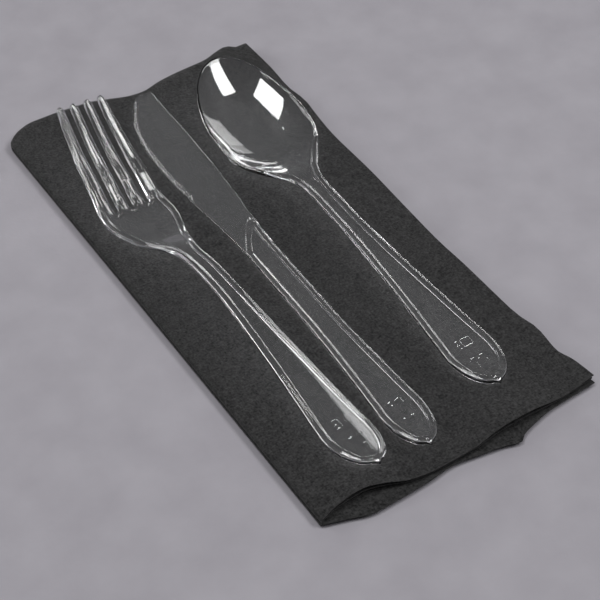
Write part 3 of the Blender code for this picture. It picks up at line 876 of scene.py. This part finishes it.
def ramp(tree, source, low, high, start=0.3, stop=0.7):
    node = tree.nodes.new("ShaderNodeValToRGB")
    node.color_ramp.elements[0].position = start
    node.color_ramp.elements[1].position = stop
    node.color_ramp.elements[0].color = (*low, 1)
    node.color_ramp.elements[1].color = (*high, 1)
    tree.links.new(source, node.inputs["Fac"])
    return node.outputs["Color"]


def blend_maths(tree, operation, first, second):
    node = tree.nodes.new("ShaderNodeMath")
    node.operation = operation
    for socket, value in zip(node.inputs, (first, second)):
        if isinstance(value, (int, float)):
            socket.default_value = value
        else:
            tree.links.new(value, socket)
    return node.outputs[0]


def bump(tree, shader, source, strength, distance):
    node = tree.nodes.new("ShaderNodeBump")
    node.inputs["Strength"].default_value = strength
    node.inputs["Distance"].default_value = distance
    tree.links.new(source, node.inputs["Height"])
    tree.links.new(node.outputs["Normal"], shader.inputs["Normal"])


def clear_plastic():
    """Crystal-clear polystyrene with the faint waves of its flow into the mould."""
    material, tree, shader = new_material("clear_polystyrene")
    shader.inputs["Base Color"].default_value = (0.97, 0.975, 0.98, 1)
    shader.inputs["Transmission Weight"].default_value = 1.0
    shader.inputs["IOR"].default_value = 1.58
    flow = noise(tree, 90, 1.5, (1, 0.25, 1))
    polish = ramp(tree, noise(tree, 900, 3), (0.015,) * 3, (0.05,) * 3)
    tree.links.new(polish, shader.inputs["Roughness"])
    bump(tree, shader, flow, 0.03, 0.0001)
    through = tree.nodes.new("ShaderNodeBsdfTransparent")
    through.inputs["Color"].default_value = (0.88, 0.88, 0.88, 1)
    path = tree.nodes.new("ShaderNodeLightPath")
    mix = tree.nodes.new("ShaderNodeMixShader")
    tree.links.new(path.outputs["Is Shadow Ray"], mix.inputs["Fac"])
    tree.links.new(shader.outputs["BSDF"], mix.inputs[1])
    tree.links.new(through.outputs["BSDF"], mix.inputs[2])
    tree.links.new(mix.outputs["Shader"], tree.nodes["Material Output"].inputs["Surface"])
    return material


def charcoal_paper():
    """Soft pressed paper: short fibres both ways, faint mottling and a low nap."""
    material, tree, shader = new_material("charcoal_paper")
    fibres = blend_maths(tree, "ADD", noise(tree, 1700, 3, (1, 0.6, 1)),
                         noise(tree, 1700, 3, (0.6, 1, 1)))
    mottle = noise(tree, 450, 4)
    both = blend_maths(tree, "ADD", blend_maths(tree, "MULTIPLY", fibres, 0.38),
                       blend_maths(tree, "MULTIPLY", mottle, 0.24))
    tree.links.new(ramp(tree, both, (0.004, 0.004, 0.0041), (0.029, 0.0288, 0.029), 0.38, 0.64),
                   shader.inputs["Base Color"])
    shader.inputs["Roughness"].default_value = 0.95
    shader.inputs["Specular IOR Level"].default_value = 0.12
    shader.inputs["Sheen Weight"].default_value = 0.1
    shader.inputs["Sheen Roughness"].default_value = 0.5
    bump(tree, shader, fibres, 0.5, 0.0002)
    return material


def floor_paper():
    material, tree, shader = new_material("floor_paper")
    tone = ramp(tree, noise(tree, 60, 5), (0.204, 0.195, 0.214), (0.230, 0.221, 0.241))
    tree.links.new(tone, shader.inputs["Base Color"])
    shader.inputs["Roughness"].default_value = 0.9
    bump(tree, shader, noise(tree, 700, 3), 0.15, 0.0003)
    return material


# studio

def make_floor():
    size = FLOOR_HALF_SIZE
    mesh = bpy.data.meshes.new("floor")
    mesh.from_pydata([(-size, -size, 0), (size, -size, 0), (size, size, 0), (-size, size, 0)],
                     [], [(0, 1, 2, 3)])
    mesh.materials.append(floor_paper())
    floor = bpy.data.objects.new("floor", mesh)
    floor.location.z = cad_low.z - FLOOR_GAP
    bpy.context.collection.objects.link(floor)


def softbox(name, direction, size, side, radiance):
    """A rectangular light that faces the object. size is per metre of distance.

    direction points from the object to the light, and side along the light's second edge.
    """
    light = bpy.data.lights.new(name, "AREA")
    light.shape = "RECTANGLE"
    light.size = size[0] * LIGHT_DISTANCE
    light.size_y = size[1] * LIGHT_DISTANCE
    light.energy = radiance * math.pi * light.size * light.size_y
    towards = Vector(direction).normalized()
    second = Vector(side)
    second = (second - towards * second.dot(towards)).normalized()
    lamp = bpy.data.objects.new(name, light)
    lamp.location = towards * LIGHT_DISTANCE
    lamp.rotation_mode = "QUATERNION"
    facing = Matrix((second.cross(towards), second, towards)).transposed()
    lamp.rotation_quaternion = facing.to_quaternion()
    bpy.context.collection.objects.link(lamp)


def make_lights():
    softbox("overhead", (-0.20, 0.08, 0.97), (0.44, 0.40), (-0.31, 0.95, 0), 11)
    softbox("right_front", (0.46, -0.36, 0.81), (0.28, 0.58), (0.07, 0.85, 0.52), 13)
    softbox("right", (0.82, 0.40, 0.39), (0.26, 0.36), (0, 0, 1), 2.4)
    softbox("low_right", (0.80, 0.60, 0.05), (0.90, 0.09), (0, 0, 1), 8)
    softbox("left_back", (-0.73, 0.61, 0.31), (0.70, 0.50), (0, 0, 1), 5)
    world = bpy.data.worlds.new("studio")
    world.use_nodes = True
    world.node_tree.nodes["Background"].inputs["Color"].default_value = (0.19, 0.19, 0.197, 1)
    bpy.context.scene.world = world


def make_camera():
    azimuth, elevation = math.radians(CAMERA_AZIMUTH), math.radians(CAMERA_ELEVATION)
    back = Vector((math.sin(azimuth) * math.cos(elevation),
                   -math.cos(azimuth) * math.cos(elevation), math.sin(elevation)))
    data = bpy.data.cameras.new("camera")
    data.lens = LENS
    data.sensor_width = SENSOR
    camera = bpy.data.objects.new("camera", data)
    camera.location = Vector(CAMERA_TARGET) + back * CAMERA_DISTANCE
    camera.rotation_mode = "QUATERNION"
    camera.rotation_quaternion = back.to_track_quat("Z", "Y")
    bpy.context.collection.objects.link(camera)
    bpy.context.scene.camera = camera


plastic = clear_plastic()
make_napkin(charcoal_paper())
make_fork(plastic)
make_knife(plastic)
make_spoon(plastic)
make_floor()
make_lights()
make_camera()
bpy.context.scene.view_settings.view_transform = "Standard"
